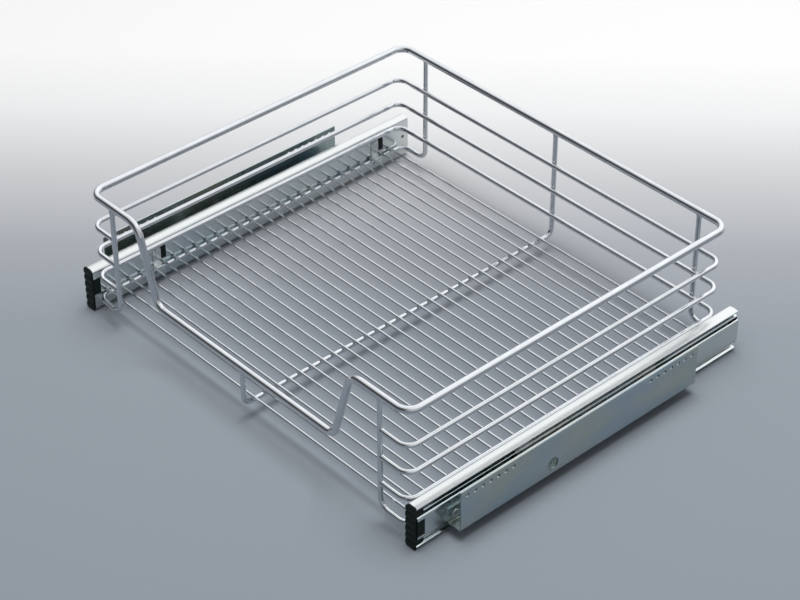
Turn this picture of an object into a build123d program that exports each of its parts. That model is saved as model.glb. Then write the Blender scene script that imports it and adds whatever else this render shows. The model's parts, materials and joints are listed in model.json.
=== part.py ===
import math
import os

from build123d import *

# Pull-out wire basket on a pair of ball-bearing slides, for the foot of a kitchen cabinet.
# X runs to the right, the basket pulls out towards -Y, Z is up.
# The origin is on the floor, midway along the overall width and depth.
# Slides, fixings and brackets are drawn for the right-hand side and mirrored for their twins.

# Wire sizes
rim_wire_d = 8.0
frame_wire_d = 5.5
floor_wire_d = 3.0
weld_set_down = 0.15        # how far two crossing wires are pressed together
weld_saddle = 1.5           # how far below the rim's centre line a butted wire is trimmed

# Basket, measured over the outer faces of its wires
basket_width = 490.0
basket_depth = 443.0
basket_height = 134.0       # bottom wires' centre line up to the rim's centre line
rail_pitch = 32.25          # from one rail down to the next
first_rail_drop = 40.0      # rim centre line down to the upper rail
bottom_wire_drop = 8.25     # middle of the slides down to the bottom wires' centre line
post_spacing = 408.0        # between the left and right posts
rim_corner_r = 15.0
rail_corner_r = 13.0
frame_bend_r = 12.0
spine_bend_r = 10.0

# Lowered grip at the front of the rim
grip_top_width = 326.0
grip_bottom_width = 274.0
grip_drop = 89.0
grip_top_r = 20.0
grip_bottom_r = 12.0

# Basket floor
floor_wire_pitch = 15.0
floor_first_setback = 11.75   # front posts' centre line back to the first floor wire
floor_wire_inset = 0.5        # end of a floor wire inside the basket's outer face

# Telescopic slide
slide_length = 450.0
slide_height = 50.0
slide_thickness = 12.7
slide_setback = 0.75          # slide front edge to the basket's front face
web_wall = 1.4
flange_arch = 0.9             # rise of the arched outer flange
crown_wall = 2.5              # metal left over the outer ball race
race_wall = 1.7               # metal left between the two races of the middle member
inner_flange_wall = 2.0
ball_d = 3.5
race_clearance = 0.05
outer_flange_gap = 1.5        # open height between the drawer member's and middle member's flanges
inner_flange_gap = 2.8        # open height between the middle member's and cabinet member's flanges
ball_line = 8.4               # ball centres, from the basket side of the slide
cage_wall = 0.6
cage_flange_wall = 0.8
cage_gap = 0.35               # running gap beside a cage web
cage_flange_reach = 11.2
cage_length = 196.0
cage_ball_clearance = 0.1
balls_per_row = 12
ball_pitch = 16.0
middle_flange_tip_gap = 0.5
cabinet_web_stand_out = 1.8   # drawer member's open edge out to the cabinet member's outer face
bend_r = 0.6
member_corner_r = 2.2
basket_to_web_gap = 0.3

# Front cap, plug and bumper
cap_thickness = 3.0
cap_overhang = 1.2
cap_inner_corner_r = 4.5      # basket side
cap_outer_corner_r = 1.5      # cabinet side
cap_lobe_count = 6
cap_lobe_rise = 1.2
plug_depth = 9.0
plug_clearance = 0.4
bumper_depth = 9.0
bumper_height = 19.0
bumper_fit = 0.1

# Fixing of the basket to the slides
hook_wall = 1.2
hook_width = 10.5
hook_gap = 0.2
hook_plate_rise = 14.5        # middle of the slide up to the top of the hook's plate
hook_stud_rise = 11.5
front_gap_count = 4           # gaps between floor wires in front of the front hook's own
rear_hook_setback = 41.0      # least distance back from the rear hook's gap to where the basket or slide ends
stud_head_r = 2.4
stud_head_h = 1.1
stud_dome_r = 0.9
stud_shank_r = 1.5
clip_offset = 8.7             # hook centre to clip centre
clip_width = 6.6
clip_height = 14.4
clip_rise = 7.5               # middle of the slide up to the middle of the clip
clip_stand_out = 1.8          # from the web towards the basket
clip_fit = 0.1
stop_hole_r = 2.0
stop_hole_setback = 8.0       # rear end of the slide to the centre of the stop hole
stop_hole_rise = 2.0

# Cabinet bracket
bracket_wall = 1.5
bracket_width = 18.0
bracket_height = 48.8
bracket_leg_height = 18.0
bracket_length = 327.0
bracket_drop = 14.0           # middle of the slide down to the bracket's underside
bracket_setback = 38.0        # slide front edge back to the bracket's front edge
bracket_bend_r = 1.0
screw_hole_r = 2.25
screw_hole_pitch = 10.0
screw_hole_count = 7
screw_hole_margin = 8.5       # bracket end to the first hole of a row
screw_hole_drop = 7.2         # top edge of the bracket down to the row
access_hole_r = 7.2
access_hole_setback = 122.2   # bracket front edge back to the access hole
access_hole_rise = 13.8
rivet_count = 3
rivet_shank_r = 2.4
rivet_head_r = 4.2
rivet_head_h = 1.6
rivet_dome_r = 1.0
rivet_tail_h = 1.0
rivet_fit = 0.02
rivet_end_margin = 9.0
rivet_rise = 9.0              # bracket bottom up to the rivets

# Places that follow from the sizes above
rim_r = rim_wire_d / 2
frame_r = frame_wire_d / 2
floor_r = floor_wire_d / 2
half_height = slide_height / 2
slide_centre_height = half_height + cap_overhang
bottom_wire_height = slide_centre_height - bottom_wire_drop
rim_height = bottom_wire_height + basket_height
overall_depth = cap_thickness + slide_length
slide_front = -overall_depth / 2 + cap_thickness
slide_rear = slide_front + slide_length
basket_front_face = slide_front + slide_setback
basket_rear_face = basket_front_face + basket_depth
rim_x = basket_width / 2 - rim_r
rim_front = basket_front_face + rim_r
rim_rear = basket_rear_face - rim_r
side_x = basket_width / 2 - frame_r
post_x = post_spacing / 2
post_front = basket_front_face + frame_r
post_rear = rim_rear
rail_rear = post_rear - frame_wire_d + weld_set_down
rail_heights = [rim_height - first_rail_drop - rail_pitch * k for k in range(3)]
grip_height = rim_height - grip_drop
floor_height = bottom_wire_height + frame_r + floor_r - weld_set_down
floor_length = basket_width - 2 * floor_wire_inset
floor_first = post_front + floor_first_setback
floor_wire_count = int((post_rear - floor_first) / floor_wire_pitch)

web_x = basket_width / 2 + basket_to_web_gap
race_r = ball_d / 2 + race_clearance
outer_ball_level = half_height - crown_wall - race_r
inner_ball_level = outer_ball_level - 2 * race_r - race_wall
drawer_flange_level = outer_ball_level + outer_flange_gap / 2
middle_top_level = outer_ball_level - outer_flange_gap / 2
middle_bottom_level = inner_ball_level + inner_flange_gap / 2
cabinet_top_level = inner_ball_level - inner_flange_gap / 2
cabinet_bottom_level = cabinet_top_level - inner_flange_wall
outer_cage_web = web_wall + cage_gap
middle_web = outer_cage_web + cage_wall + cage_gap
inner_cage_web = middle_web + web_wall + cage_gap
cabinet_flange_tip = inner_cage_web + cage_wall + cage_gap
cabinet_face = slide_thickness + cabinet_web_stand_out
middle_front = slide_front + plug_depth + plug_clearance
middle_length = slide_rear - middle_front
outer_cage_centre = (middle_front + slide_rear) / 2
inner_cage_centre = (slide_front + bumper_depth + slide_rear) / 2

bracket_x = web_x + cabinet_face
bracket_front = slide_front + bracket_setback
bracket_rear = bracket_front + bracket_length
bracket_bottom = slide_centre_height - bracket_drop
rivet_height = bracket_bottom + rivet_rise
rivet_pitch = (bracket_length - 2 * rivet_end_margin) / (rivet_count - 1)
stud_height = slide_centre_height + hook_stud_rise
clip_centre = slide_centre_height + clip_rise
rear_gap_count = int((min(slide_rear, post_rear) - rear_hook_setback - floor_first) / floor_wire_pitch)
hook_centres = [floor_first + floor_wire_pitch * (k + 0.5) for k in (front_gap_count, rear_gap_count)]


def slide_plane(y):
    """Section plane across the right slide, x from its basket side and y from mid height."""
    return Plane(origin=(web_x, y, slide_centre_height), x_dir=(1, 0, 0), z_dir=(0, -1, 0))


def section_plane(y):
    """Section plane across the object, x to the right and y up from the floor."""
    return Plane(origin=(0, y, 0), x_dir=(1, 0, 0), z_dir=(0, -1, 0))


def web_plane(x):
    """Plane parallel to the slide's web, x towards the rear and y up from the floor."""
    return Plane(origin=(x, 0, 0), x_dir=(0, 1, 0), z_dir=(1, 0, 0))


def bent_wire(points, bends, radius):
    """A round wire along straight runs joined by tangent bends, closed if it ends where it starts."""
    run_start = Vector(points[0])
    with BuildPart() as wire:
        with BuildLine() as path:
            for index, bend in enumerate(bends):
                corner = Vector(points[index + 1])
                back = (Vector(points[index]) - corner).normalized()
                ahead = (Vector(points[index + 2]) - corner).normalized()
                reach = bend / math.tan(math.radians(back.get_angle(ahead) / 2))
                Line(run_start, corner + back * reach)
                TangentArc(corner + back * reach, corner + ahead * reach, tangent=-back)
                run_start = corner + ahead * reach
            Line(run_start, points[-1])
        with BuildSketch(Plane(origin=points[0], z_dir=Vector(points[1]) - Vector(points[0]))):
            Circle(radius)
        sweep(path=path.wires()[0])
    return wire.part


def mirrored(part):
    """The left-hand twin of a right-hand piece."""
    return mirror(part, about=Plane.YZ)


def save(part, name):
    """Label a piece and write it."""
    part.label = name
    export_step(part, f"parts/{name}.step")


# Wire basket
def make_top_rim():
    """One closed heavy wire, lowered in the middle of the front as a grip."""
    grip_top_x = grip_top_width / 2
    grip_bottom_x = grip_bottom_width / 2
    points = [
        (0, rim_rear, rim_height),
        (rim_x, rim_rear, rim_height),
        (rim_x, rim_front, rim_height),
        (grip_top_x, rim_front, rim_height),
        (grip_bottom_x, rim_front, grip_height),
        (-grip_bottom_x, rim_front, grip_height),
        (-grip_top_x, rim_front, rim_height),
        (-rim_x, rim_front, rim_height),
        (-rim_x, rim_rear, rim_height),
        (0, rim_rear, rim_height),
    ]
    corner = [rim_corner_r, rim_corner_r]
    return bent_wire(points, corner + [grip_top_r, grip_bottom_r, grip_bottom_r, grip_top_r] + corner, rim_r)


def make_rail(height):
    """A wire round both sides and the back, its front ends scooped to fit the front posts."""
    points = [
        (post_x, post_front, height),
        (side_x, post_front, height),
        (side_x, rail_rear, height),
        (-side_x, rail_rear, height),
        (-side_x, post_front, height),
        (-post_x, post_front, height),
    ]
    with BuildPart() as rail:
        add(bent_wire(points, [rail_corner_r] * 4, frame_r))
        with Locations((post_x, post_front, height), (-post_x, post_front, height)):
            Cylinder(frame_r, 2 * frame_wire_d, mode=Mode.SUBTRACT)
    return rail.part


def make_side_frame():
    """Front post, bottom wire along one side and rear post, bent from one wire."""
    post_top = rim_height - weld_saddle
    points = [
        (post_x, post_front, post_top),
        (post_x, post_front, bottom_wire_height),
        (side_x, post_front, bottom_wire_height),
        (side_x, post_rear, bottom_wire_height),
        (post_x, post_rear, bottom_wire_height),
        (post_x, post_rear, post_top),
    ]
    with BuildPart() as frame:
        add(bent_wire(points, [frame_bend_r] * 4, frame_r))
        with Locations((post_x, rim_front, rim_height), (post_x, rim_rear, rim_height)):
            Cylinder(rim_r, 2 * rim_wire_d, rotation=(0, 90, 0), mode=Mode.SUBTRACT)
    return frame.part


def make_centre_spine():
    """Short front post, bottom wire under the middle of the floor and rear post, from one wire."""
    points = [
        (0, post_front, grip_height - weld_saddle),
        (0, post_front, bottom_wire_height),
        (0, post_rear, bottom_wire_height),
        (0, post_rear, rim_height - weld_saddle),
    ]
    with BuildPart() as spine:
        add(bent_wire(points, [spine_bend_r] * 2, frame_r))
        with Locations((0, rim_front, grip_height), (0, rim_rear, rim_height)):
            Cylinder(rim_r, 2 * rim_wire_d, rotation=(0, 90, 0), mode=Mode.SUBTRACT)
    return spine.part


def make_floor_wires():
    """Straight thin wires from side to side, resting on the bottom wires."""
    with BuildPart() as wires:
        with BuildSketch(Plane.YZ.offset(-floor_length / 2)):
            for k in range(floor_wire_count):
                with Locations((floor_first + floor_wire_pitch * k, floor_height)):
                    Circle(floor_r)
        extrude(amount=floor_length)
    return wires.part


# Telescopic slide, drawn for the right-hand side
def make_drawer_member():
    """Outer channel on the basket's side, open towards the cabinet, with an arched top and bottom."""
    lip = half_height - flange_arch
    with BuildPart() as member:
        with BuildSketch(slide_plane(slide_front)) as section:
            with BuildLine():
                ThreePointArc((0, lip), (slide_thickness / 2, half_height), (slide_thickness, lip))
                Line((slide_thickness, lip), (slide_thickness, -lip))
                ThreePointArc((slide_thickness, -lip), (slide_thickness / 2, -half_height), (0, -lip))
                Line((0, -lip), (0, lip))
            make_face()
            fillet(section.vertices().group_by(Axis.X)[0], member_corner_r)
            with Locations((web_wall, 0)):
                Rectangle(
                    slide_thickness, 2 * drawer_flange_level, align=(Align.MIN, Align.CENTER), mode=Mode.SUBTRACT
                )
            with Locations((ball_line, outer_ball_level), (ball_line, -outer_ball_level)):
                Circle(race_r, mode=Mode.SUBTRACT)
        extrude(amount=-slide_length)
        with BuildSketch(web_plane(web_x)):
            for centre in hook_centres:
                with Locations((centre + clip_offset, clip_centre)):
                    Rectangle(clip_width + 2 * clip_fit, clip_height + 2 * clip_fit)
                with Locations((centre, stud_height)):
                    Circle(stud_shank_r)
            with Locations((slide_rear - stop_hole_setback, slide_centre_height + stop_hole_rise)):
                Circle(stop_hole_r)
        extrude(amount=web_wall, mode=Mode.SUBTRACT)
    return member.part


def make_middle_member():
    """Middle channel, open towards the cabinet, with ball races on both sides of its flanges."""
    flange_tip = slide_thickness - middle_flange_tip_gap
    with BuildPart() as member:
        with BuildSketch(slide_plane(middle_front)) as section:
            with Locations((middle_web, 0)):
                Rectangle(flange_tip - middle_web, 2 * middle_top_level, align=(Align.MIN, Align.CENTER))
            fillet(section.vertices(), bend_r)
            with Locations((middle_web + web_wall, 0)):
                Rectangle(
                    slide_thickness, 2 * middle_bottom_level, align=(Align.MIN, Align.CENTER), mode=Mode.SUBTRACT
                )
            for level in (outer_ball_level, inner_ball_level):
                with Locations((ball_line, level), (ball_line, -level)):
                    Circle(race_r, mode=Mode.SUBTRACT)
        extrude(amount=-middle_length)
    return member.part


def make_cabinet_member():
    """Inner channel, open towards the basket, its web riveted to the cabinet bracket."""
    with BuildPart() as member:
        with BuildSketch(slide_plane(slide_front)) as section:
            with Locations((cabinet_face, 0)):
                Rectangle(
                    cabinet_face - cabinet_flange_tip,
                    2 * cabinet_top_level,
                    align=(Align.MAX, Align.CENTER),
                )
            fillet(section.vertices().group_by(Axis.X)[-1], member_corner_r)
            with Locations((cabinet_face - web_wall, 0)):
                Rectangle(
                    cabinet_face, 2 * cabinet_bottom_level, align=(Align.MAX, Align.CENTER), mode=Mode.SUBTRACT
                )
            with Locations((ball_line, inner_ball_level), (ball_line, -inner_ball_level)):
                Circle(race_r, mode=Mode.SUBTRACT)
        extrude(amount=-slide_length)
        with BuildSketch(web_plane(bracket_x)):
            with Locations((slide_front + bumper_depth / 2, slide_centre_height)):
                Rectangle(bumper_depth, bumper_height + 2 * bumper_fit)
            with Locations((bracket_front + bracket_length / 2, rivet_height)):
                with GridLocations(rivet_pitch, 0, rivet_count, 1):
                    Circle(rivet_shank_r + rivet_fit)
        extrude(amount=-web_wall, mode=Mode.SUBTRACT)
    return member.part


def make_cage(web, level, centre):
    """Sheet cage that keeps one set of balls apart, bent round the web into both ball gaps."""
    outside = level + cage_flange_wall / 2
    front = centre - cage_length / 2
    with BuildPart() as cage:
        with BuildSketch(slide_plane(front)):
            with Locations((web, 0)):
                Rectangle(cage_flange_reach - web, 2 * outside, align=(Align.MIN, Align.CENTER))
            with Locations((web + cage_wall, 0)):
                Rectangle(
                    slide_thickness,
                    2 * (outside - cage_flange_wall),
                    align=(Align.MIN, Align.CENTER),
                    mode=Mode.SUBTRACT,
                )
        extrude(amount=-cage_length)
        with BuildSketch(Plane.XY.offset(slide_centre_height - half_height)):
            with Locations((web_x + ball_line, centre)):
                with GridLocations(0, ball_pitch, 1, balls_per_row):
                    Circle(ball_d / 2 + cage_ball_clearance)
        extrude(amount=slide_height, mode=Mode.SUBTRACT)
    return cage.part


def make_balls(level, centre):
    """Two rows of balls, above and below the slide's middle."""
    with BuildPart() as balls:
        for side in (1, -1):
            with Locations((web_x + ball_line, centre, slide_centre_height + side * level)):
                with GridLocations(0, ball_pitch, 1, balls_per_row):
                    Sphere(ball_d / 2)
    return balls.part


def make_front_cap():
    """Moulded cap over the front end of the drawer member, with a lobed face and a plug behind it."""
    half = half_height + cap_overhang
    lobe_pitch = 2 * half / cap_lobe_count
    face = slide_front - cap_thickness
    with BuildPart() as cap:
        with BuildSketch(web_plane(web_x)):
            with BuildLine():
                Polyline(
                    (face + cap_lobe_rise, slide_centre_height + half),
                    (slide_front, slide_centre_height + half),
                    (slide_front, slide_centre_height - half),
                    (face + cap_lobe_rise, slide_centre_height - half),
                )
                for k in range(cap_lobe_count):
                    low = slide_centre_height - half + lobe_pitch * k
                    ThreePointArc(
                        (face + cap_lobe_rise, low),
                        (face, low + lobe_pitch / 2),
                        (face + cap_lobe_rise, low + lobe_pitch),
                    )
            make_face()
        extrude(amount=slide_thickness)
        with BuildSketch(slide_plane(face)) as outline:
            Rectangle(slide_thickness, 2 * half, align=(Align.MIN, Align.CENTER))
            fillet(outline.vertices().group_by(Axis.X)[0], cap_inner_corner_r)
            fillet(outline.vertices().group_by(Axis.X)[-1], cap_outer_corner_r)
        extrude(amount=-cap_thickness, mode=Mode.INTERSECT)
        with BuildSketch(slide_plane(slide_front)):
            with Locations((web_wall, 0)):
                Rectangle(
                    slide_thickness - web_wall - middle_flange_tip_gap,
                    2 * (outer_ball_level + outer_flange_gap / 4),
                    align=(Align.MIN, Align.CENTER),
                )
            with Locations((cabinet_flange_tip - plug_clearance, 0)):
                Rectangle(
                    slide_thickness,
                    2 * (cabinet_top_level + plug_clearance),
                    align=(Align.MIN, Align.CENTER),
                    mode=Mode.SUBTRACT,
                )
        extrude(amount=-plug_depth)
    return cap.part


def make_front_bumper():
    """Buffer block in the notched front end of the cabinet member."""
    with BuildPart() as bumper:
        with BuildSketch(slide_plane(slide_front)) as section:
            with Locations((cabinet_face, 0)):
                Rectangle(cabinet_face - cabinet_flange_tip, bumper_height, align=(Align.MAX, Align.CENTER))
            fillet(section.vertices().group_by(Axis.X)[0], bend_r)
        extrude(amount=-(bumper_depth - bumper_fit))
    return bumper.part


# Fixing of the basket to the slide
def make_hook(centre):
    """Pressed hook on the web, wrapped over, behind and under the basket's bottom wire."""
    top = bottom_wire_height + frame_r + hook_gap + hook_wall
    bottom = bottom_wire_height - frame_r - hook_gap - hook_wall
    inner = side_x - frame_r - hook_gap - hook_wall
    with BuildPart() as hook:
        with BuildSketch(section_plane(centre - hook_width / 2)) as section:
            with Locations((inner, bottom)):
                Rectangle(web_x - inner, top - bottom, align=(Align.MIN, Align.MIN))
            fillet(section.vertices().group_by(Axis.X)[0], hook_wall)
            with Locations((web_x, bottom + hook_wall)):
                Rectangle(
                    web_x - inner - hook_wall,
                    top - bottom - 2 * hook_wall,
                    align=(Align.MAX, Align.MIN),
                    mode=Mode.SUBTRACT,
                )
            with Locations((web_x, top)):
                Rectangle(hook_wall, slide_centre_height + hook_plate_rise - top, align=(Align.MAX, Align.MIN))
        extrude(amount=-hook_width)
        with BuildSketch(web_plane(web_x)):
            with Locations((centre, stud_height)):
                Circle(stud_shank_r)
        extrude(amount=-hook_wall, mode=Mode.SUBTRACT)
    return hook.part


def make_hook_studs():
    """Domed studs that hold the hooks, flush behind the web."""
    with BuildPart() as studs:
        for centre in hook_centres:
            with BuildSketch(web_plane(web_x + web_wall)):
                with Locations((centre, stud_height)):
                    Circle(stud_shank_r)
            extrude(amount=-(web_wall + hook_wall))
            with BuildSketch(web_plane(web_x - hook_wall)):
                with Locations((centre, stud_height)):
                    Circle(stud_head_r)
            extrude(amount=-stud_head_h)
        rims = studs.edges().filter_by(GeomType.CIRCLE).group_by(Axis.X)[0]
        fillet(rims, stud_dome_r)
    return studs.part


def make_clip(centre):
    """Moulded clip pressed into the web's window beside a hook."""
    with BuildPart() as clip:
        with BuildSketch(web_plane(web_x + web_wall)):
            with Locations((centre + clip_offset, clip_centre)):
                Rectangle(clip_width, clip_height)
        extrude(amount=-(web_wall + clip_stand_out))
        fillet(clip.faces().sort_by(Axis.X)[0].edges(), bend_r)
    return clip.part


# Cabinet bracket
def make_bracket():
    """Channel with a short leg riveted to the slide and a tall plate screwed to the cabinet wall."""
    with BuildPart() as bracket:
        with BuildSketch(section_plane(bracket_front)) as section:
            with Locations((bracket_x, bracket_bottom)):
                Rectangle(bracket_width, bracket_height, align=(Align.MIN, Align.MIN))
            fillet(section.vertices().group_by(Axis.Y)[0], bracket_bend_r + bracket_wall)
            with Locations((bracket_x + bracket_wall, bracket_bottom + bracket_wall)):
                RectangleRounded(
                    bracket_width - 2 * bracket_wall,
                    2 * bracket_height,
                    bracket_bend_r,
                    align=(Align.MIN, Align.MIN),
                    mode=Mode.SUBTRACT,
                )
            with Locations((bracket_x, bracket_bottom + bracket_leg_height)):
                Rectangle(
                    bracket_width - bracket_wall,
                    bracket_height,
                    align=(Align.MIN, Align.MIN),
                    mode=Mode.SUBTRACT,
                )
        extrude(amount=-bracket_length)
        row_height = bracket_bottom + bracket_height - screw_hole_drop
        row_half = screw_hole_pitch * (screw_hole_count - 1) / 2
        with BuildSketch(web_plane(bracket_x + bracket_width)):
            with Locations(
                (bracket_front + screw_hole_margin + row_half, row_height),
                (bracket_rear - screw_hole_margin - row_half, row_height),
            ):
                with GridLocations(screw_hole_pitch, 0, screw_hole_count, 1):
                    Circle(screw_hole_r)
            with Locations((bracket_front + access_hole_setback, bracket_bottom + access_hole_rise)):
                Circle(access_hole_r)
        extrude(amount=-bracket_wall, mode=Mode.SUBTRACT)
        with BuildSketch(web_plane(bracket_x)):
            with Locations((bracket_front + bracket_length / 2, rivet_height)):
                with GridLocations(rivet_pitch, 0, rivet_count, 1):
                    Circle(rivet_shank_r + rivet_fit)
        extrude(amount=bracket_wall, mode=Mode.SUBTRACT)
    return bracket.part


def make_bracket_rivets():
    """Rivets through the bracket's short leg and the cabinet member's web."""
    with BuildPart() as rivets:
        with BuildSketch(web_plane(bracket_x - web_wall)):
            with Locations((bracket_front + bracket_length / 2, rivet_height)):
                with GridLocations(rivet_pitch, 0, rivet_count, 1):
                    Circle(rivet_shank_r)
        extrude(amount=web_wall + bracket_wall)
        for plane_x, length in ((bracket_x + bracket_wall, rivet_head_h), (bracket_x - web_wall, -rivet_tail_h)):
            with BuildSketch(web_plane(plane_x)):
                with Locations((bracket_front + bracket_length / 2, rivet_height)):
                    with GridLocations(rivet_pitch, 0, rivet_count, 1):
                        Circle(rivet_head_r)
            extrude(amount=length)
        heads = rivets.edges().filter_by(GeomType.CIRCLE).group_by(Axis.X)[-1]
        fillet(heads, rivet_dome_r)
    return rivets.part


os.makedirs("parts", exist_ok=True)

save(make_top_rim(), "top_rim")
for rail_name, rail_height in zip(("upper_rail", "middle_rail", "lower_rail"), rail_heights):
    save(make_rail(rail_height), rail_name)
save(make_centre_spine(), "centre_spine")
save(make_floor_wires(), "floor_wires")

pieces = {
    "side_frame": make_side_frame(),
    "drawer_member": make_drawer_member(),
    "middle_member": make_middle_member(),
    "cabinet_member": make_cabinet_member(),
    "outer_cage": make_cage(outer_cage_web, outer_ball_level, outer_cage_centre),
    "inner_cage": make_cage(inner_cage_web, inner_ball_level, inner_cage_centre),
    "outer_balls": make_balls(outer_ball_level, outer_cage_centre),
    "inner_balls": make_balls(inner_ball_level, inner_cage_centre),
    "front_cap": make_front_cap(),
    "front_bumper": make_front_bumper(),
    "front_hook": make_hook(hook_centres[0]),
    "rear_hook": make_hook(hook_centres[1]),
    "hook_studs": make_hook_studs(),
    "front_clip": make_clip(hook_centres[0]),
    "rear_clip": make_clip(hook_centres[1]),
    "cabinet_bracket": make_bracket(),
    "bracket_rivets": make_bracket_rivets(),
}
for piece_name, piece in pieces.items():
    save(piece, f"right_{piece_name}")
    save(mirrored(piece), f"left_{piece_name}")
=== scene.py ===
import json
import math

import bmesh
import bpy
import numpy as np
from mathutils import Matrix, Vector


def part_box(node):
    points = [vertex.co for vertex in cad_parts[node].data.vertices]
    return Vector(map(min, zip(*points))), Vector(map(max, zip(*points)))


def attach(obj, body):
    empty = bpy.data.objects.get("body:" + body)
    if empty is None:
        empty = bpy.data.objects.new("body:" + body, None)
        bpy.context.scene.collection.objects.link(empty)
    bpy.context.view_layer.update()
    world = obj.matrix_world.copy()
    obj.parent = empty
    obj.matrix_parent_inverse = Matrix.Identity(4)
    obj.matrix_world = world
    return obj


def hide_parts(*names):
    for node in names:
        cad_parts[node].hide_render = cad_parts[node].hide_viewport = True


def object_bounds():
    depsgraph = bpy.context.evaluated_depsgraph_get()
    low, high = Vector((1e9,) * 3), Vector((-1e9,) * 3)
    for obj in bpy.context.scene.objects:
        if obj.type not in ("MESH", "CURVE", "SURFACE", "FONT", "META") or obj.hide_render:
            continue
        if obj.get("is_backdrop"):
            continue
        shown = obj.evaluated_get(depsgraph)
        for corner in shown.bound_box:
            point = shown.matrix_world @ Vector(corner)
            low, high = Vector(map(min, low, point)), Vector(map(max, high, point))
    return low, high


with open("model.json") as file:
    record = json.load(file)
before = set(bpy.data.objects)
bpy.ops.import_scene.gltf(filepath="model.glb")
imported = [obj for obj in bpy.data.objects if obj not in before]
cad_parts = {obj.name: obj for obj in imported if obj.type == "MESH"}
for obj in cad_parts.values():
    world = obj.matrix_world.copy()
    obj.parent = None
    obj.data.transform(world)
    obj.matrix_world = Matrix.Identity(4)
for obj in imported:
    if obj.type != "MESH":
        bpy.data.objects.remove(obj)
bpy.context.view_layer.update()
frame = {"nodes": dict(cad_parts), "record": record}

# A pull-out wire basket on two ball-bearing slides with their cabinet brackets, in a plain studio.
# Everything is in metres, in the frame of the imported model: the basket pulls out towards -Y, and Z is up.

mm = 0.001
bothSides = (("left", -1), ("right", 1))


# Shader maths

class Value:
    # a node's output, with arithmetic that adds Math nodes
    def __init__(self, graph, socket):
        self.graph, self.socket = graph, socket

    def math(self, operation, first, second):
        return self.graph.add("ShaderNodeMath", {"operation": operation}, {0: first, 1: second})

    def __add__(self, other):
        return self.math("ADD", self, other)

    def __radd__(self, other):
        return self.math("ADD", other, self)

    def __sub__(self, other):
        return self.math("SUBTRACT", self, other)

    def __rsub__(self, other):
        return self.math("SUBTRACT", other, self)

    def __mul__(self, other):
        return self.math("MULTIPLY", self, other)

    def __rmul__(self, other):
        return self.math("MULTIPLY", other, self)


class Graph:
    # a node tree that is filled through one method
    def __init__(self, owner):
        owner.use_nodes = True
        self.tree = owner.node_tree
        self.tree.nodes.clear()

    def add(self, kind, settings=None, sockets=None, output=0):
        node = self.tree.nodes.new(kind)
        for key, value in (settings or {}).items():
            if key == "stops":
                ramp = node.color_ramp
                while len(ramp.elements) < len(value):
                    ramp.elements.new(0.5)      # moved to its own place below
                for stop, (place, colour) in zip(ramp.elements, value):
                    stop.position = place
                    stop.color = (*colour, 1.0)
            else:
                setattr(node, key, value)
        for key, value in (sockets or {}).items():
            if isinstance(value, Value):
                self.tree.links.new(value.socket, node.inputs[key])
            else:
                node.inputs[key].default_value = value
        return Value(self, node.outputs[output]) if len(node.outputs) else None

    def place(self, stretch=(1.0, 1.0, 1.0)):
        # object coordinates, stretched along an axis for rolled or drawn marks
        here = self.add("ShaderNodeTexCoord", output="Object")
        return self.add("ShaderNodeMapping", sockets={"Vector": here, "Scale": stretch})

    def noise(self, where, scale, detail=3.0, rough=0.5):
        return self.add(
            "ShaderNodeTexNoise",
            sockets={"Vector": where, "Scale": scale, "Detail": detail, "Roughness": rough},
            output="Fac",
        )

    def spread(self, value, low, high, least=0.0, most=1.0, soft=False):
        # low to high becomes least to most, and stays in between
        return self.add(
            "ShaderNodeMapRange",
            {"clamp": True, "interpolation_type": "SMOOTHSTEP" if soft else "LINEAR"},
            {"Value": value, "From Min": low, "From Max": high, "To Min": least, "To Max": most},
        )

    def blend(self, factor, first, second):
        # mix of two colours, whose sockets are the mix node's 6 and 7 and its output 2
        first = first if isinstance(first, Value) else (*first, 1.0)
        second = second if isinstance(second, Value) else (*second, 1.0)
        return self.add("ShaderNodeMix", {"data_type": "RGBA"}, {0: factor, 6: first, 7: second}, output=2)

    def lean(self, direction, axis):
        # how far a direction or a place lies along an axis
        sockets = {0: direction, 1: axis}
        return self.add("ShaderNodeVectorMath", {"operation": "DOT_PRODUCT"}, sockets, output="Value")

    def bump(self, height, strength, depth):
        return self.add("ShaderNodeBump", sockets={"Height": height, "Strength": strength, "Distance": depth})

    def surface(self, sockets):
        shader = self.add("ShaderNodeBsdfPrincipled", sockets=sockets)
        self.add("ShaderNodeOutputMaterial", sockets={"Surface": shader})


def newMaterial(name):
    material = bpy.data.materials.new(name)
    return material, Graph(material)


def mixed(first, second, share):
    # two patterns added up, the second with this share
    return first * (1 - share) + second * share


# Finishes

# A pattern is its scale, detail and roughness, and a range is where in the pattern a change starts and ends.
# The relief is the bump's strength and depth.

chromeLook = {
    "tint": (0.645, 0.67, 0.70),
    "shade": (0.575, 0.60, 0.63),
    "rough": (0.03, 0.09),
    "haze": (45.0, 4.0, 0.6),
    "tintRange": (0.35, 0.7),
    "roughRange": (0.3, 0.75),
    "ripple": (160.0, 2.0),
    "pits": (1400.0, 2.0),
    "pitShare": 0.08,
    "relief": (0.25, 0.25 * mm),
}


def chromeFinish(look):
    # bright plating over drawn wire: a slight ripple, faint cloudy haze and fine pits
    material, g = newMaterial("brightChrome")
    where = g.place()
    haze = g.noise(where, *look["haze"])
    ripple = g.noise(where, *look["ripple"])
    pits = g.noise(where, *look["pits"])
    g.surface({
        "Base Color": g.blend(g.spread(haze, *look["tintRange"]), look["tint"], look["shade"]),
        "Metallic": 1.0,
        "Roughness": g.spread(haze, *look["roughRange"], *look["rough"]),
        "Normal": g.bump(ripple + pits * look["pitShare"], *look["relief"]),
    })
    return material


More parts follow.
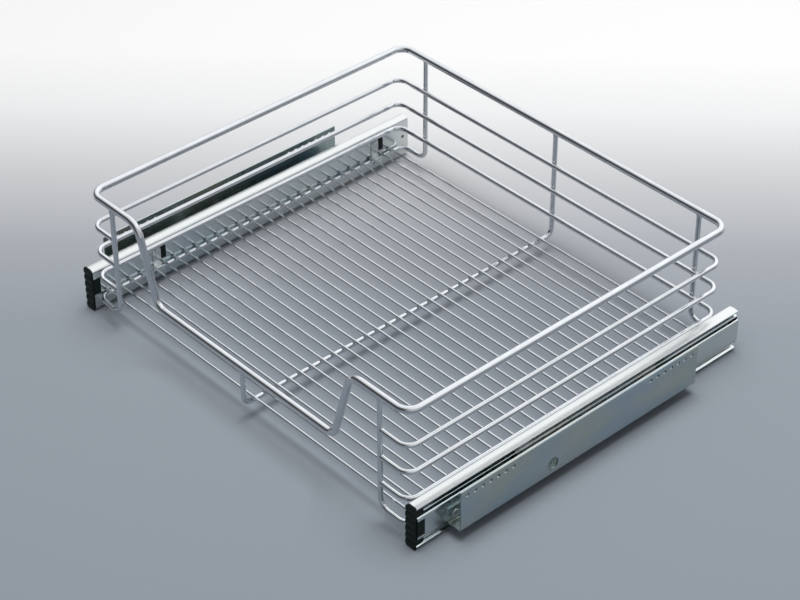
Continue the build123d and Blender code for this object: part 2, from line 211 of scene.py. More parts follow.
slideLook = {
    "tint": (0.65, 0.68, 0.67),
    "shade": (0.53, 0.61, 0.64),
    "rough": (0.12, 0.2),
    "streaks": (900.0, 4.0, 0.6),
    "lines": (2600.0, 2.0),
    "streakStretch": (1.0, 0.02, 1.0),
    "clouds": (20.0, 4.0, 0.55),
    "cloudStretch": (1.0, 0.5, 1.0),
    "tintStreaks": 0.2,         # the streaks' share in the tint
    "tintRange": (0.4, 0.62),
    "roughStreaks": 0.5,        # and in the roughness
    "roughRange": (0.35, 0.65),
    "reliefStreaks": 0.4,       # and in the relief
    "relief": (0.3, 0.1 * mm),
    # the strip along the top is satin, and its paler neutral colour is painted sheen for the overhead light it
    # mirrors
    "paintedSheen": (0.65, 0.67, 0.67),
    "satin": 0.3,
    "sheenBand": 1.6 * mm,
    "sheenCore": 0.8,          # the share of the band where the painted sheen is full
}


def slideFinish(look):
    # bright zinc on cold-rolled strip: fine streaks along the rolling direction and long soft clouds
    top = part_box("right_drawer_member")[1].z
    band = look["sheenBand"]
    material, g = newMaterial("rolledZinc")
    streaks = g.noise(g.place(look["streakStretch"]), *look["streaks"])
    lines = g.noise(g.place(look["streakStretch"]), *look["lines"])
    clouds = g.noise(g.place(look["cloudStretch"]), *look["clouds"])
    height = g.add("ShaderNodeSeparateXYZ", sockets={"Vector": g.place()}, output="Z")
    # painted sheen: a band along the top is paler and neutral for the overhead light it mirrors, and satin
    paintedSheen = g.spread(height, top - band, top - band * look["sheenCore"])
    paling = g.spread(mixed(clouds, streaks, look["tintStreaks"]), *look["tintRange"])
    worn = g.spread(mixed(clouds, streaks, look["roughStreaks"]), *look["roughRange"], *look["rough"])
    g.surface({
        "Base Color": g.blend(paintedSheen, g.blend(paling, look["tint"], look["shade"]), look["paintedSheen"]),
        "Metallic": 1.0,
        "Roughness": worn + paintedSheen * (look["satin"] - worn),
        "Normal": g.bump(lines + streaks * look["reliefStreaks"], *look["relief"]),
    })
    return material


bracketLook = {
    "blue": (0.39, 0.475, 0.52),
    "green": (0.475, 0.51, 0.465),
    "pale": (0.55, 0.585, 0.565),
    "rough": (0.18, 0.34),
    "clouds": (22.0, 3.0, 0.5),
    "cloudStretch": (1.0, 0.45, 1.0),
    "cloudRange": (0.38, 0.62),
    "rubs": (60.0, 4.0, 0.65),
    "rubStretch": (1.0, 0.15, 1.0),
    "rubRange": (0.55, 0.8),
    "rubShare": (0.0, 0.7),     # how far a rub pales the clouds
    "grain": (520.0, 3.0, 0.6),
    "roughGrain": 0.2,          # the grain's share in the roughness
    "roughRange": (0.35, 0.65),
    "relief": (0.09, 0.1 * mm),
}


def bracketFinish(look):
    # passivated zinc: large bluish and greenish clouds, a fine frosted grain, a few paler rubs
    material, g = newMaterial("passivatedZinc")
    clouds = g.noise(g.place(look["cloudStretch"]), *look["clouds"])
    grain = g.noise(g.place(), *look["grain"])
    rubs = g.noise(g.place(look["rubStretch"]), *look["rubs"])
    clouded = g.blend(g.spread(clouds, *look["cloudRange"]), look["blue"], look["green"])
    paling = g.spread(rubs, *look["rubRange"], *look["rubShare"])
    frosted = mixed(clouds, grain, look["roughGrain"])
    g.surface({
        "Base Color": g.blend(paling, clouded, look["pale"]),
        "Metallic": 1.0,
        "Roughness": g.spread(frosted, *look["roughRange"], *look["rough"]),
        "Normal": g.bump(grain, *look["relief"]),
    })
    return material


def mottledFinish(name, look):
    # tint and roughness follow one cloudy film, and a finer grain stands in relief
    material, g = newMaterial(name)
    film = g.noise(g.place(), *look["film"])
    sockets = {
        "Base Color": g.blend(g.spread(film, *look["tintRange"]), look["tint"], look["shade"]),
        "Roughness": g.spread(film, *look["roughRange"], *look["rough"]),
    }
    if "grain" in look:
        grain = g.noise(g.place(look["grainStretch"]), *look["grain"])
        sockets["Normal"] = g.bump(grain, *look["relief"])
    g.surface({**sockets, **look["constant"]})
    return material


# plain strip with press marks and a thin film of grease
cageLook = {
    "tint": (0.46, 0.47, 0.48),
    "shade": (0.30, 0.30, 0.29),
    "rough": (0.18, 0.42),
    "film": (70.0, 3.0),
    "tintRange": (0.35, 0.7),
    "roughRange": (0.3, 0.7),
    "grain": (300.0, 3.0),
    "grainStretch": (1.0, 0.1, 1.0),
    "relief": (0.2, 0.15 * mm),
    "constant": {"Metallic": 1.0},
}

# ground and polished steel with a trace of grease
ballLook = {
    "tint": (0.80, 0.80, 0.81),
    "shade": (0.62, 0.61, 0.58),
    "rough": (0.05, 0.2),
    "film": (260.0, 2.0),
    "tintRange": (0.4, 0.7),
    "roughRange": (0.4, 0.7),
    "constant": {"Metallic": 1.0},
}

# small zinc-plated pressings and rivets
fixingLook = {
    "tint": (0.68, 0.71, 0.72),
    "shade": (0.54, 0.58, 0.59),
    "rough": (0.2, 0.36),
    "film": (130.0, 3.0),
    "tintRange": (0.35, 0.65),
    "roughRange": (0.3, 0.7),
    "grain": (900.0, 2.0),
    "grainStretch": (1.0, 1.0, 1.0),
    "relief": (0.2, 0.1 * mm),
    "constant": {"Metallic": 1.0},
}

# moulded black plastic with a fine eroded grain
plasticLook = {
    "tint": (0.006, 0.013, 0.011),
    "shade": (0.01, 0.02, 0.017),
    "rough": (0.5, 0.65),
    "film": (90.0, 3.0),
    "tintRange": (0.4, 0.75),
    "roughRange": (0.3, 0.7),
    "grain": (1500.0, 3.0, 0.6),
    "grainStretch": (1.0, 1.0, 1.0),
    "relief": (0.35, 0.1 * mm),
    "constant": {"Specular IOR Level": 0.2},
}

finishes = {
    "wire_chrome": chromeFinish(chromeLook),
    "slide_zinc": slideFinish(slideLook),
    "bracket_zinc": bracketFinish(bracketLook),
    "cage_steel": mottledFinish("greasedStrip", cageLook),
    "ball_steel": mottledFinish("polishedSteel", ballLook),
    "fixing_zinc": mottledFinish("platedFixing", fixingLook),
    "black_plastic": mottledFinish("mouldedBlack", plasticLook),
}
slotOf = {part["node"]: part["material_slot"] for part in frame["record"]["subparts"]}
bodyOf = {node: body for body, nodes in frame["record"]["behaviour"]["bodies"].items() for node in nodes}
for nodeName, nodeObject in frame["nodes"].items():
    for slot in nodeObject.material_slots:
        slot.material = finishes[slotOf[nodeName]]
print("finishes made:", len(finishes))


# Surfaces

# A surface is its points and blocks of faces, and the faces in a block have equally many corners.

def newObject(name, data):
    thing = bpy.data.objects.new(name, data)
    bpy.context.scene.collection.objects.link(thing)
    return thing


def finishedPiece(name, mesh, slotName, body, replaced=()):
    # smooth, in its finish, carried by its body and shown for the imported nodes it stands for
    mesh.polygons.foreach_set("use_smooth", np.ones(len(mesh.polygons), bool))
    mesh.materials.clear()
    mesh.materials.append(finishes[slotName])
    mesh.update()
    piece = newObject(name, mesh)
    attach(piece, body)
    if replaced:
        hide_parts(*replaced)
    return piece


def addPiece(name, surface, slotName, body, replaced=()):
    points, blocks = surface
    mesh = bpy.data.meshes.new(name)
    mesh.from_pydata(points.tolist(), [], [face for block in blocks for face in block.tolist()])
    return finishedPiece(name, mesh, slotName, body, replaced)


def joined(surfaces):
    # several closed surfaces as one, with each one's corners numbered on from the points before it
    points, blocks, offset = [], [], 0
    for surfacePoints, surfaceBlocks in surfaces:
        points.append(surfacePoints)
        blocks += [block + offset for block in surfaceBlocks]
        offset += len(surfacePoints)
    return np.concatenate(points), blocks


def unit(vector):
    return np.asarray(vector, float) / np.linalg.norm(vector)


def bentRoute(corners, bends, steps):
    # Straight runs joined by tangent arcs. Along an arc the point is
    # start + bend * (sin(angle) * ahead + (1 - cos(angle)) * inward), and the frame turns with it.
    corners = np.asarray(corners, float)
    ahead = np.diff(corners, axis=0)
    ahead /= np.linalg.norm(ahead, axis=1)[:, None]
    startsLevel = abs(ahead[0][2]) < 0.9
    side = unit(np.cross(ahead[0], (0, 0, 1) if startsLevel else (0, 1, 0)))
    points, tangents, sides = [corners[:1]], [ahead[:1]], [side[None]]
    for corner, before, after, bend in zip(corners[1:-1], ahead[:-1], ahead[1:], bends):
        turn = math.acos(float(np.clip(before @ after, -1, 1)))
        axis = unit(np.cross(before, after))
        inward = np.cross(axis, before)
        angle = np.linspace(0, turn, steps + 1)[:, None]
        start = corner - before * bend * math.tan(turn / 2)
        turned = np.cos(angle) * inward - np.sin(angle) * before
        points.append(start + bend * (np.sin(angle) * before + (1 - np.cos(angle)) * inward))
        tangents.append(np.cos(angle) * before + np.sin(angle) * inward)
        sides.append((side @ axis) * axis + (side @ inward) * turned)
        side = sides[-1][-1]
    points = np.concatenate(points + [corners[-1:]])
    tangents = np.concatenate(tangents + [ahead[-1:]])
    sides = np.concatenate(sides + [side[None]])
    along = np.concatenate([[0.0], np.cumsum(np.linalg.norm(np.diff(points, axis=0), axis=1))])
    return {"points": points, "tangents": tangents, "sides": sides, "along": along}


def withRings(route, places):
    # the same route with more rings at these distances, which lie on its straight runs
    tenthMicron = 7     # decimals within which two rings count as one
    along = np.unique(np.round(np.concatenate([route["along"], places]), tenthMicron))
    along = along[(along >= 0) & (along <= route["along"][-1])]
    finer = {"along": along}
    for key in ("points", "tangents", "sides"):
        finer[key] = np.stack([np.interp(along, route["along"], column) for column in route[key].T], axis=1)
    return finer


def swelling(along, places, width, height):
    # what welds add to the radius: height * exp(-((s - place) / width) ** 2), summed over the places
    return sum(height * np.exp(-((along - place) / width) ** 2) for place in places)


# a wire's cut end: the dome's height as a share of the radius, its rings, and the last step to its tip
wireEnd = {"dome": 0.35, "rings": 3, "tip": 0.2}


def tubeSurface(route, radius, sides, closed=False):
    # point(s, a) = centre(s) + radius(s) * (cos(a) * side(s) + sin(a) * up(s)), domed over at open ends
    centres, tangents, across = route["points"], route["tangents"], route["sides"]
    radius = np.broadcast_to(radius, (len(centres),)).astype(float)
    dome, rings = wireEnd["dome"], wireEnd["rings"]
    if closed:
        centres, tangents, across, radius = centres[:-1], tangents[:-1], across[:-1], radius[:-1]
    else:
        lean = np.linspace(0, math.pi / 2, rings + 2)[1:-1]
        first, last = radius[0], radius[-1]
        centres = np.concatenate([
            centres[0] - tangents[0] * (np.sin(lean[::-1]) * first * dome)[:, None],
            centres,
            centres[-1] + tangents[-1] * (np.sin(lean) * last * dome)[:, None],
        ])
        radius = np.concatenate([np.cos(lean[::-1]) * first, radius, np.cos(lean) * last])
        tangents = np.pad(tangents, ((rings, rings), (0, 0)), mode="edge")
        across = np.pad(across, ((rings, rings), (0, 0)), mode="edge")
    upward = np.cross(tangents, across)
    angle = np.linspace(0, 2 * math.pi, sides, endpoint=False)[None, :, None]
    spokes = across[:, None] * np.cos(angle) + upward[:, None] * np.sin(angle)
    points = (centres[:, None] + radius[:, None, None] * spokes).reshape(-1, 3)
    count = len(centres)
    row = np.arange(count if closed else count - 1)[:, None] * sides
    following = (row + sides) % (count * sides)
    column = np.arange(sides)
    beside = (column + 1) % sides
    quads = np.stack([row + column, row + beside, following + beside, following + column], axis=-1)
    blocks = [quads.reshape(-1, 4)]
    if not closed:
        tips, far = len(points), (count - 1) * sides
        blocks.append(np.stack([np.full(sides, tips), beside, column], axis=-1))
        blocks.append(np.stack([np.full(sides, tips + 1), column + far, beside + far], axis=-1))
        points = np.concatenate([points, [
            centres[0] - tangents[0] * (radius[0] * dome * wireEnd["tip"]),
            centres[-1] + tangents[-1] * (radius[-1] * dome * wireEnd["tip"]),
        ]])
    return points, blocks


def beadSurface(centres, radii, columns, rows):
    # ellipsoids: centre + radii * (sin(v) cos(u), sin(v) sin(u), cos(v)), with single points as poles
    u = np.linspace(0, 2 * math.pi, columns, endpoint=False)
    v = np.linspace(0, math.pi, rows + 1)[1:-1]
    rings = np.stack([
        np.outer(np.sin(v), np.cos(u)),
        np.outer(np.sin(v), np.sin(u)),
        np.outer(np.cos(v), np.ones(columns)),
    ], axis=-1).reshape(-1, 3)
    shape = np.concatenate([rings, [[0, 0, 1], [0, 0, -1]]])
    row, column = np.arange(rows - 2)[:, None] * columns, np.arange(columns)
    following, beside = row + columns, (column + 1) % columns
    quads = np.stack([row + column, following + column, following + beside, row + beside], axis=-1)
    top, bottom, last = len(rings), len(rings) + 1, (rows - 2) * columns
    blocks = [
        quads.reshape(-1, 4),
        np.stack([np.full(columns, top), column, beside], axis=-1),
        np.stack([np.full(columns, bottom), last + beside, last + column], axis=-1),
    ]
    return joined([(centre + shape * size, blocks) for centre, size in zip(centres, radii)])


# Wire basket

wire = {
    "rimD": 8.0 * mm,
    "frameD": 5.5 * mm,
    "floorD": 3.0 * mm,
    "rimSides": 28,
    "frameSides": 22,
    "floorSides": 12,
    # a frame wire's bends, and the finer rings near its ends, where the weld collars swell
    "bendSteps": 16,
    "endReach": 6 * mm,
    "endRings": 13,
}
rim = {
    "cornerR": 15 * mm,
    "gripTopWidth": 326 * mm,
    "gripBottomWidth": 274 * mm,
    "gripTopR": 20 * mm,
    "gripBottomR": 12 * mm,
    "bendSteps": 20,
    # the weld that closes the rim is a slight neck
    "seamAt": 1.5 * mm,
    "seamWide": 0.7 * mm,
    "seamDeep": 0.12 * mm,
    "seamRings": 7,
}
rimR, frameR, floorR = wire["rimD"] / 2, wire["frameD"] / 2, wire["floorD"] / 2
rimLow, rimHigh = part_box("top_rim")
middleX = (rimLow.x + rimHigh.x) / 2
halfX = (rimHigh.x - rimLow.x) / 2 - rimR
rimFront, rimRear = rimLow.y + rimR, rimHigh.y - rimR
rimZ, gripZ = rimHigh.z - rimR, rimLow.z + rimR


def fromMiddle(points):
    # points with x measured from the basket's middle plane
    return np.asarray(points, float) + (middleX, 0, 0)


def mirrored(half):
    # corners on the right, then their mirror images on the left in reverse order
    half = np.asarray(half, float)
    return fromMiddle(np.concatenate([half, half[::-1] * (-1, 1, 1)]))


rimBends = [rim["cornerR"], rim["cornerR"], rim["gripTopR"], rim["gripBottomR"]]
rimRoute = bentRoute(mirrored([
    (0, rimRear, rimZ),
    (halfX, rimRear, rimZ),
    (halfX, rimFront, rimZ),
    (rim["gripTopWidth"] / 2, rimFront, rimZ),
    (rim["gripBottomWidth"] / 2, rimFront, gripZ),
]), rimBends + rimBends[::-1], rim["bendSteps"])
rimRoute = withRings(rimRoute, np.linspace(0, 2 * rim["seamAt"], rim["seamRings"]))
rimRadius = rimR - swelling(rimRoute["along"], [rim["seamAt"]], rim["seamWide"], rim["seamDeep"])
rimSurface = tubeSurface(rimRoute, rimRadius, wire["rimSides"], closed=True)
addPiece("topRim", rimSurface, "wire_chrome", "basket", ["top_rim"])


def frameWire(name, corners, look, collarAt, node):
    # a bent wire with a weld collar at this distance from each end
    route = bentRoute(corners, [look["bendR"]] * (len(corners) - 2), wire["bendSteps"])
    near = np.linspace(0, wire["endReach"], wire["endRings"])
    route = withRings(route, np.concatenate([near, route["along"][-1] - near]))
    along = route["along"]
    collars = swelling(along, [collarAt, along[-1] - collarAt], look["collarWide"], look["collarHigh"])
    surface = tubeSurface(route, frameR + collars, wire["frameSides"])
    addPiece(name, surface, "wire_chrome", "basket", [node])


frameLow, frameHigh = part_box("right_side_frame")
postX = frameLow.x + frameR - middleX
sideX = frameHigh.x - frameR - middleX
postFront, postRear = frameLow.y + frameR, rimRear
bottomZ = frameLow.z + frameR

# each end lies inside the rim, this saddle below its centre line, and its collar just clear of the rim
sideFrame = {
    "bendR": 12 * mm,
    "saddle": 1.5 * mm,
    "collarHigh": 0.45 * mm,
    "collarWide": 1.0 * mm,
    "collarClear": 0.2 * mm,
}
postTop = rimZ - sideFrame["saddle"]
collarAt = rimR - sideFrame["saddle"] + sideFrame["collarClear"]
for side, sign in bothSides[::-1]:
    corners = fromMiddle([
        (sign * postX, postFront, postTop),
        (sign * postX, postFront, bottomZ),
        (sign * sideX, postFront, bottomZ),
        (sign * sideX, postRear, bottomZ),
        (sign * postX, postRear, bottomZ),
        (sign * postX, postRear, postTop),
    ])
    frameWire(f"{side}SideFrame", corners, sideFrame, collarAt, f"{side}_side_frame")

spine = {
    "bendR": 10 * mm,
    "saddle": 1.5 * mm,
    "collarHigh": 0.45 * mm,
    "collarWide": 1.0 * mm,
    "collarClear": 0.2 * mm,
}
corners = fromMiddle([
    (0, postFront, gripZ - spine["saddle"]),
    (0, postFront, bottomZ),
    (0, postRear, bottomZ),
    (0, postRear, rimZ - spine["saddle"]),
])
frameWire("centreSpine", corners, spine, rimR - spine["saddle"] + spine["collarClear"], "centre_spine")

rails = {
    "bendR": 13 * mm,
    "collarHigh": 0.35 * mm,
    "collarWide": 0.8 * mm,
    "collarClear": 0.3 * mm,
}
railPlaces = []
for name in ("upper", "middle", "lower"):
    low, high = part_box(f"{name}_rail")
    level, rear = (low.z + high.z) / 2, high.y - frameR
    railPlaces.append((rear, level))
    corners = mirrored([(postX, postFront, level), (sideX, postFront, level), (sideX, rear, level)])
    frameWire(f"{name}Rail", corners, rails, frameR + rails["collarClear"], f"{name}_rail")

floor = {
    "count": 28,
    "stations": 13,
    # each wire bows forward or back by chance, in this many waves
    "bow": 0.12 * mm,
    "waves": 2,
    "seed": 7,
}
floorLow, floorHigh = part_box("floor_wires")
inset = wireEnd["dome"] * floorR
wireX = np.linspace(floorLow.x + inset, floorHigh.x - inset, floor["stations"])
wireY = np.linspace(floorLow.y + floorR, floorHigh.y - floorR, floor["count"])
wireZ = (floorLow.z + floorHigh.z) / 2
wave = np.sin(math.pi * (wireX - wireX[0]) / (wireX[-1] - wireX[0]) * floor["waves"]) ** 2
chance = np.random.default_rng(floor["seed"])
surfaces = []
for y in wireY:
    bowed = y + floor["bow"] * wave * chance.uniform(-1, 1)
    route = {
        "points": np.stack(np.broadcast_arrays(wireX, bowed, wireZ), axis=1),
        "tangents": np.tile((1.0, 0.0, 0.0), (floor["stations"], 1)),
        "sides": np.tile((0.0, 1.0, 0.0), (floor["stations"], 1)),
    }
    surfaces.append(tubeSurface(route, floorR, wire["floorSides"]))
addPiece("floorWires", joined(surfaces), "wire_chrome", "basket", ["floor_wires"])

# half widths of the weld beads at the floor's and the rails' crossings
beads = {
    "floor": (1.7 * mm, 1.9 * mm, 0.8 * mm),
    "rail": (1.8 * mm, 0.8 * mm, 1.8 * mm),
    "uneven": 0.15,
    "sunk": 0.1 * mm,
    "columns": 10,
    "rows": 6,
}
beadZ = bottomZ + frameR - beads["sunk"]
floorCrossings = [(x, y, beadZ) for y in wireY for x in (-sideX, 0, sideX)]
railCrossings = [(x, rear + frameR, level) for rear, level in railPlaces for x in (-postX, 0, postX)]
sizes = np.array([beads["floor"]] * len(floorCrossings) + [beads["rail"]] * len(railCrossings))
sizes = sizes * chance.uniform(1 - beads["uneven"], 1 + beads["uneven"], (len(sizes), 1))
surface = beadSurface(fromMiddle(floorCrossings + railCrossings), sizes, beads["columns"], beads["rows"])
addPiece("weldBeads", surface, "wire_chrome", "basket")
print("basket made:", len(floorCrossings), "floor crossings")


# Sheet and moulded pieces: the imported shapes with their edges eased

easing = {
    "drawer_member": 0.25 * mm,
    "cabinet_member": 0.12 * mm,
    "cabinet_bracket": 0.15 * mm,
    "front_cap": 0.45 * mm,
    "front_bumper": 0.4 * mm,
    "front_hook": 0.2 * mm,
    "rear_hook": 0.2 * mm,
    "front_clip": 0.3 * mm,
    "rear_clip": 0.3 * mm,
}
edges = {"segments": 2, "sharpAngle": 35, "mergeWithin": 0.002 * mm, "flatAngle": 0.5}


def eased(piece, width):
    bevel = piece.modifiers.new("easedEdges", "BEVEL")
    bevel.width = width
    bevel.segments = edges["segments"]
    bevel.limit_method = "ANGLE"
    bevel.angle_limit = math.radians(edges["sharpAngle"])
    bevel.use_clamp_overlap = True
    bevel.harden_normals = True
    piece.modifiers.new("evenShading", "WEIGHTED_NORMAL").keep_sharp = True


lip = {"thick": 1.1 * mm, "within": 0.05 * mm}


def thinLip(mesh):
    # The drawer member's flanges end in a thin lip: the inner edge of each lip moves away from mid height,
    # until it stands as far from the lip's outer edge as the lip is thick.
    places = np.empty(3 * len(mesh.vertices))
    mesh.vertices.foreach_get("co", places)
    across, height = np.abs(places[0::3]), places[2::3]
    top, bottom = height.max(), height.min()
    atLip = across > across.max() - lip["within"]
    edge = height[atLip]
    arch = top - edge.max()
    innerTop = edge[(edge > (top + bottom) / 2) & (edge < edge.max() - lip["thick"])].max()
    innerBottom = top + bottom - innerTop
    upper = atLip & (np.abs(height - innerTop) < lip["within"])
    lower = atLip & (np.abs(height - innerBottom) < lip["within"])
    height[upper] = top - arch - lip["thick"]
    height[lower] = bottom + arch + lip["thick"]
    mesh.vertices.foreach_set("co", places)


def easedCopy(node, name, width):
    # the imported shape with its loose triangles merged, its flat faces joined and its sharp edges rounded off
    work = bmesh.new()
    work.from_mesh(frame["nodes"][node].data)
    bmesh.ops.remove_doubles(work, verts=work.verts, dist=edges["mergeWithin"])
    flat = math.radians(edges["flatAngle"])
    bmesh.ops.dissolve_limit(work, angle_limit=flat, verts=work.verts, edges=work.edges)
    mesh = bpy.data.meshes.new(name)
    work.to_mesh(mesh)
    work.free()
    if node.endswith("drawer_member"):
        thinLip(mesh)
    eased(finishedPiece(name, mesh, slotOf[node], bodyOf[node], [node]), width)


for kind, width in easing.items():
    words = "".join(word.capitalize() for word in kind.split("_"))
    for side, sign in bothSides:
        easedCopy(f"{side}_{kind}", side + words, width)
print("slide pieces eased:", len(bothSides) * len(easing))

# The middle member's flanges slope down to a round nose, which catches a thin line of light.
# The inner race's centre lies this far below the flange's top, and the outer one's this far above it.
section = {
    "web": 1.4 * mm,
    "flange": 3.15 * mm,
    "bend": 0.6 * mm,
    "nose": 0.95 * mm,
    "droop": 2.0 * mm,
    "raceR": 1.8 * mm,
    "raceX": 5.7 * mm,
    "innerRace": 4.55 * mm,
    "outerRace": 0.75 * mm,
    "arcPoints": 8,
    "eased": 0.15 * mm,
}


def arc(centre, radius, first, last):
    # centre + radius * (cos(angle), sin(angle)), with the angles in degrees
    angle = np.radians(np.linspace(first, last, section["arcPoints"]))
    return np.asarray(centre, float) + radius * np.stack([np.cos(angle), np.sin(angle)], axis=1)


def extruded(outline, front, rear):
    # a section's outline in x and z, anticlockwise as seen from the front, carried along y with flat ends
    count = len(outline)
    ring = np.stack([outline[:, 0], np.zeros(count), outline[:, 1]], axis=1)
    here = np.arange(count)
    beside = (here + 1) % count
    sides = np.stack([here, here + count, beside + count, beside], axis=1)
    points = np.concatenate([ring + (0, front, 0), ring + (0, rear, 0)])
    return points, [sides, here[None], here[None, ::-1] + count]


def middleOutline(width, half):
    # upper half from the web's inner face round the flange and back over the web, then its mirror image below
    flange, nose, race = section["flange"], section["nose"], section["raceR"]
    dip = math.degrees(math.asin((section["innerRace"] - flange) / race))
    rise = math.degrees(math.asin(section["outerRace"] / race))
    upper = np.concatenate([
        [(section["web"], 0), (section["web"], half - flange)],
        arc((section["raceX"], half - section["innerRace"]), race, 180 - dip, dip),
        arc((width - nose, half - flange + nose), nose, -90, 0),
        arc((width - nose, half - section["droop"] - nose), nose, 0, 90),
        arc((section["raceX"], half + section["outerRace"]), race, -90, rise - 180),
        arc((section["bend"], half - section["bend"]), section["bend"], 90, 180),
        [(0, 0)],
    ])
    lower = upper[::-1] * (1, -1)
    return np.concatenate([upper, lower[1:-1]])


for side, sign in bothSides:
    node = f"{side}_middle_member"
    low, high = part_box(node)
    webFace = low.x if sign > 0 else high.x
    outline = middleOutline(high.x - low.x, (high.z - low.z) / 2) * (sign, 1)
    outline = (outline + (webFace, (low.z + high.z) / 2))[::sign]
    surface = extruded(outline, low.y, high.y)
    eased(addPiece(f"{side}MiddleMember", surface, "slide_zinc", bodyOf[node], [node]), section["eased"])

# A tongue behind each cap fills a notch in the slide's web
tongue = {
    "deep": 8.5 * mm,
    "intoCap": 0.1 * mm,
    "halfHigh": 9.7 * mm,
    "rise": 4.5 * mm,
    "proud": 0.3 * mm,
    "thick": 0.9 * mm,
    "eased": 0.15 * mm,
}
for side, sign in bothSides:
    low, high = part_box(f"{side}_drawer_member")
    webFace = low.x if sign > 0 else high.x
    outer, inner = webFace - sign * tongue["proud"], webFace + sign * (tongue["thick"] - tongue["proud"])
    left, right = min(outer, inner), max(outer, inner)
    middle = (low.z + high.z) / 2 + tongue["rise"]
    foot, head = middle - tongue["halfHigh"], middle + tongue["halfHigh"]
    outline = np.array([(left, foot), (right, foot), (right, head), (left, head)])
    surface = extruded(outline, low.y - tongue["intoCap"], low.y + tongue["deep"])
    eased(addPiece(f"{side}CapTongue", surface, "black_plastic", "basket"), tongue["eased"])
print("middle members and tongues made")


# Studio

floorLook = {
    "reach": 9.0,
    "points": 96,
    "rough": 0.9,
    "shine": 0.1,
    "turn": 0.03,           # how far the painted fall-off turns to the right
    "sideways": 0.03,       # painted light: how much paler the sheet is painted to the right
    "sidewaysReach": 0.5,   # and the distance over which it does
    # distance along the view over the floor, and the colour there, which paints the light's fall-off
    "stops": [
        (-0.50, (0.286, 0.321, 0.365)),
        (0.00, (0.318, 0.352, 0.395)),
        (0.14, (0.405, 0.425, 0.462)),
        (0.28, (0.605, 0.615, 0.632)),
        (0.43, (0.868, 0.874, 0.88)),
        (0.56, (0.975, 0.975, 0.975)),
    ],
    "stopReach": 1.0,       # the stops lie within this distance either way
}
view = {
    "place": (1.4107, -1.2908, 1.4708),
    "right": (0.67359, 0.73910, -0.00207),
    "up": (-0.44233, 0.40537, 0.80001),
    "ahead": (-0.59213, 0.53796, -0.59998),
    "lens": 102.84,
    "sensor": 36.0,
    "farClip": 50.0,
}


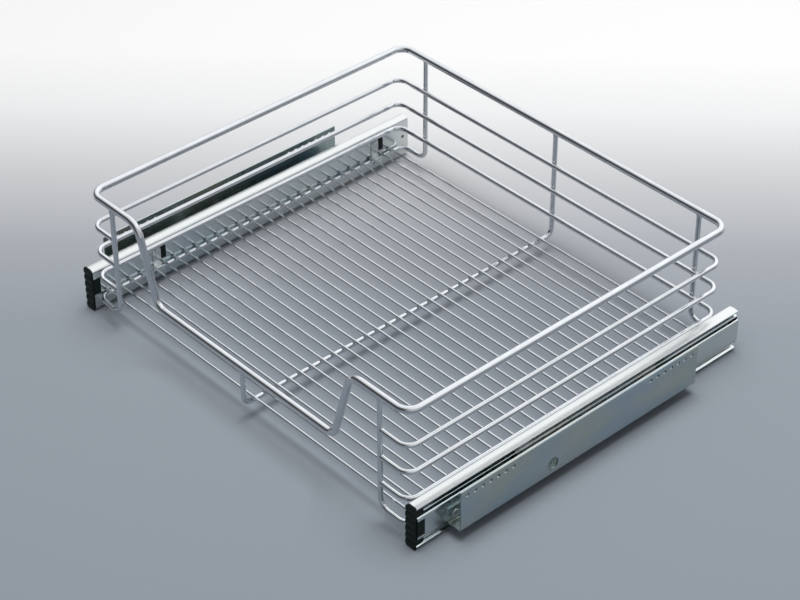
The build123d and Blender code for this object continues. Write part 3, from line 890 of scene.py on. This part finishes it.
def studioFloor():
    # a large round sheet whose colour pales with distance over it and towards the right: painted light, darker
    # near the view and paler far off
    ring = np.linspace(0, 2 * math.pi, floorLook["points"], endpoint=False)
    points = np.stack([np.cos(ring), np.sin(ring), np.zeros(len(ring))], axis=1) * floorLook["reach"]
    mesh = bpy.data.meshes.new("studioFloor")
    mesh.from_pydata(points.tolist(), [], [list(range(len(ring)))])
    material, g = newMaterial("sheetWithPaintedLight")
    here = g.add("ShaderNodeTexCoord", output="Object")
    away = unit((view["ahead"][0], view["ahead"][1], 0))
    aside = np.array([away[1], -away[0], 0])
    distance = g.lean(here, tuple(away + floorLook["turn"] * aside))
    sideways = g.lean(here, tuple(aside))
    reach, aisle = floorLook["stopReach"], floorLook["sidewaysReach"]
    stops = [((place + reach) / (2 * reach), colour) for place, colour in floorLook["stops"]]
    # painted light: the ramp paints the light's fall-off, darker near the view and paler far off
    colour = g.add("ShaderNodeValToRGB", {"stops": stops}, {"Fac": g.spread(distance, -reach, reach)})
    # painted light: a pool of light painted paler to the right
    paintedLight = g.spread(sideways, -aisle, aisle, 1 - floorLook["sideways"], 1 + floorLook["sideways"])
    g.surface({
        "Base Color": g.add("ShaderNodeVectorMath", {"operation": "SCALE"}, {0: colour, "Scale": paintedLight}),
        "Roughness": floorLook["rough"],
        "Specular IOR Level": floorLook["shine"],
    })
    mesh.materials.append(material)
    newObject("studioFloor", mesh)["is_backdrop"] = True


# Where each patch of the tent points, in degrees, how far a direction leans into it from none to full,
# and its least and full light. The even light is what matt surfaces get.
tent = {
    "patches": [
        {"azimuth": 115.0, "height": 60.0, "into": (0.34, 0.86), "light": (0.09, 1.12)},    # overhead, behind
        {"azimuth": 100.0, "height": 0.0, "into": (0.0, 1.0), "light": (0.0, 0.5)},         # level, far side
        {"azimuth": -10.0, "height": 30.0, "into": (0.55, 1.0), "light": (0.0, 0.6)},       # near right
    ],
    "even": 0.30,
    "tint": (0.99, 0.995, 1.0),
}


def studioSky():
    # Bright surfaces mirror the pale patches and the dark room between them, which draws the dark line
    # along each wire. Matt ones get the same light from all round.
    world = bpy.data.worlds.new("studioTent")
    bpy.context.scene.world = world
    g = Graph(world)
    direction = g.add("ShaderNodeTexCoord", output="Generated")
    light = []
    for patch in tent["patches"]:
        turn, rise = math.radians(patch["azimuth"]), math.radians(patch["height"])
        axis = (math.cos(rise) * math.cos(turn), math.cos(rise) * math.sin(turn), math.sin(rise))
        light.append(g.spread(g.lean(direction, axis), *patch["into"], *patch["light"], soft=True))
    mirroring = g.add("ShaderNodeLightPath", output="Is Glossy Ray")
    strength = mirroring * sum(light) + (1.0 - mirroring) * tent["even"]
    background = g.add("ShaderNodeBackground", sockets={"Color": (*tent["tint"], 1.0), "Strength": strength})
    g.add("ShaderNodeOutputWorld", sockets={"Surface": background})


# one square soft lamp overhead
keyBox = {"place": (-0.1, 0.1, 4.4), "aim": (0, 0, 0), "width": 2.4, "watts": 151.0}


def studioLamp():
    light = bpy.data.lights.new("keyBox", "AREA")
    light.shape = "SQUARE"
    light.size = keyBox["width"]
    light.energy = keyBox["watts"]
    lamp = newObject("keyBox", light)
    # the tent's own light makes the highlights
    lamp.visible_glossy = False
    back = Vector(keyBox["place"]) - Vector(keyBox["aim"])
    turn = back.to_track_quat("Z", "Y").to_matrix().to_4x4()
    lamp.matrix_world = Matrix.Translation(keyBox["place"]) @ turn


def studioCamera():
    data = bpy.data.cameras.new("viewCamera")
    data.sensor_width = view["sensor"]
    data.lens = view["lens"]
    data.clip_end = view["farClip"]
    camera = newObject("viewCamera", data)
    right, up, ahead = (Vector(view[key]).normalized() for key in ("right", "up", "ahead"))
    turn = Matrix((right, up, -ahead)).transposed().to_4x4()
    camera.matrix_world = Matrix.Translation(view["place"]) @ turn
    bpy.context.scene.camera = camera


studioFloor()
studioSky()
studioLamp()
studioCamera()
bpy.context.scene.view_settings.view_transform = "Standard"
print("studio made")

low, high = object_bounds()
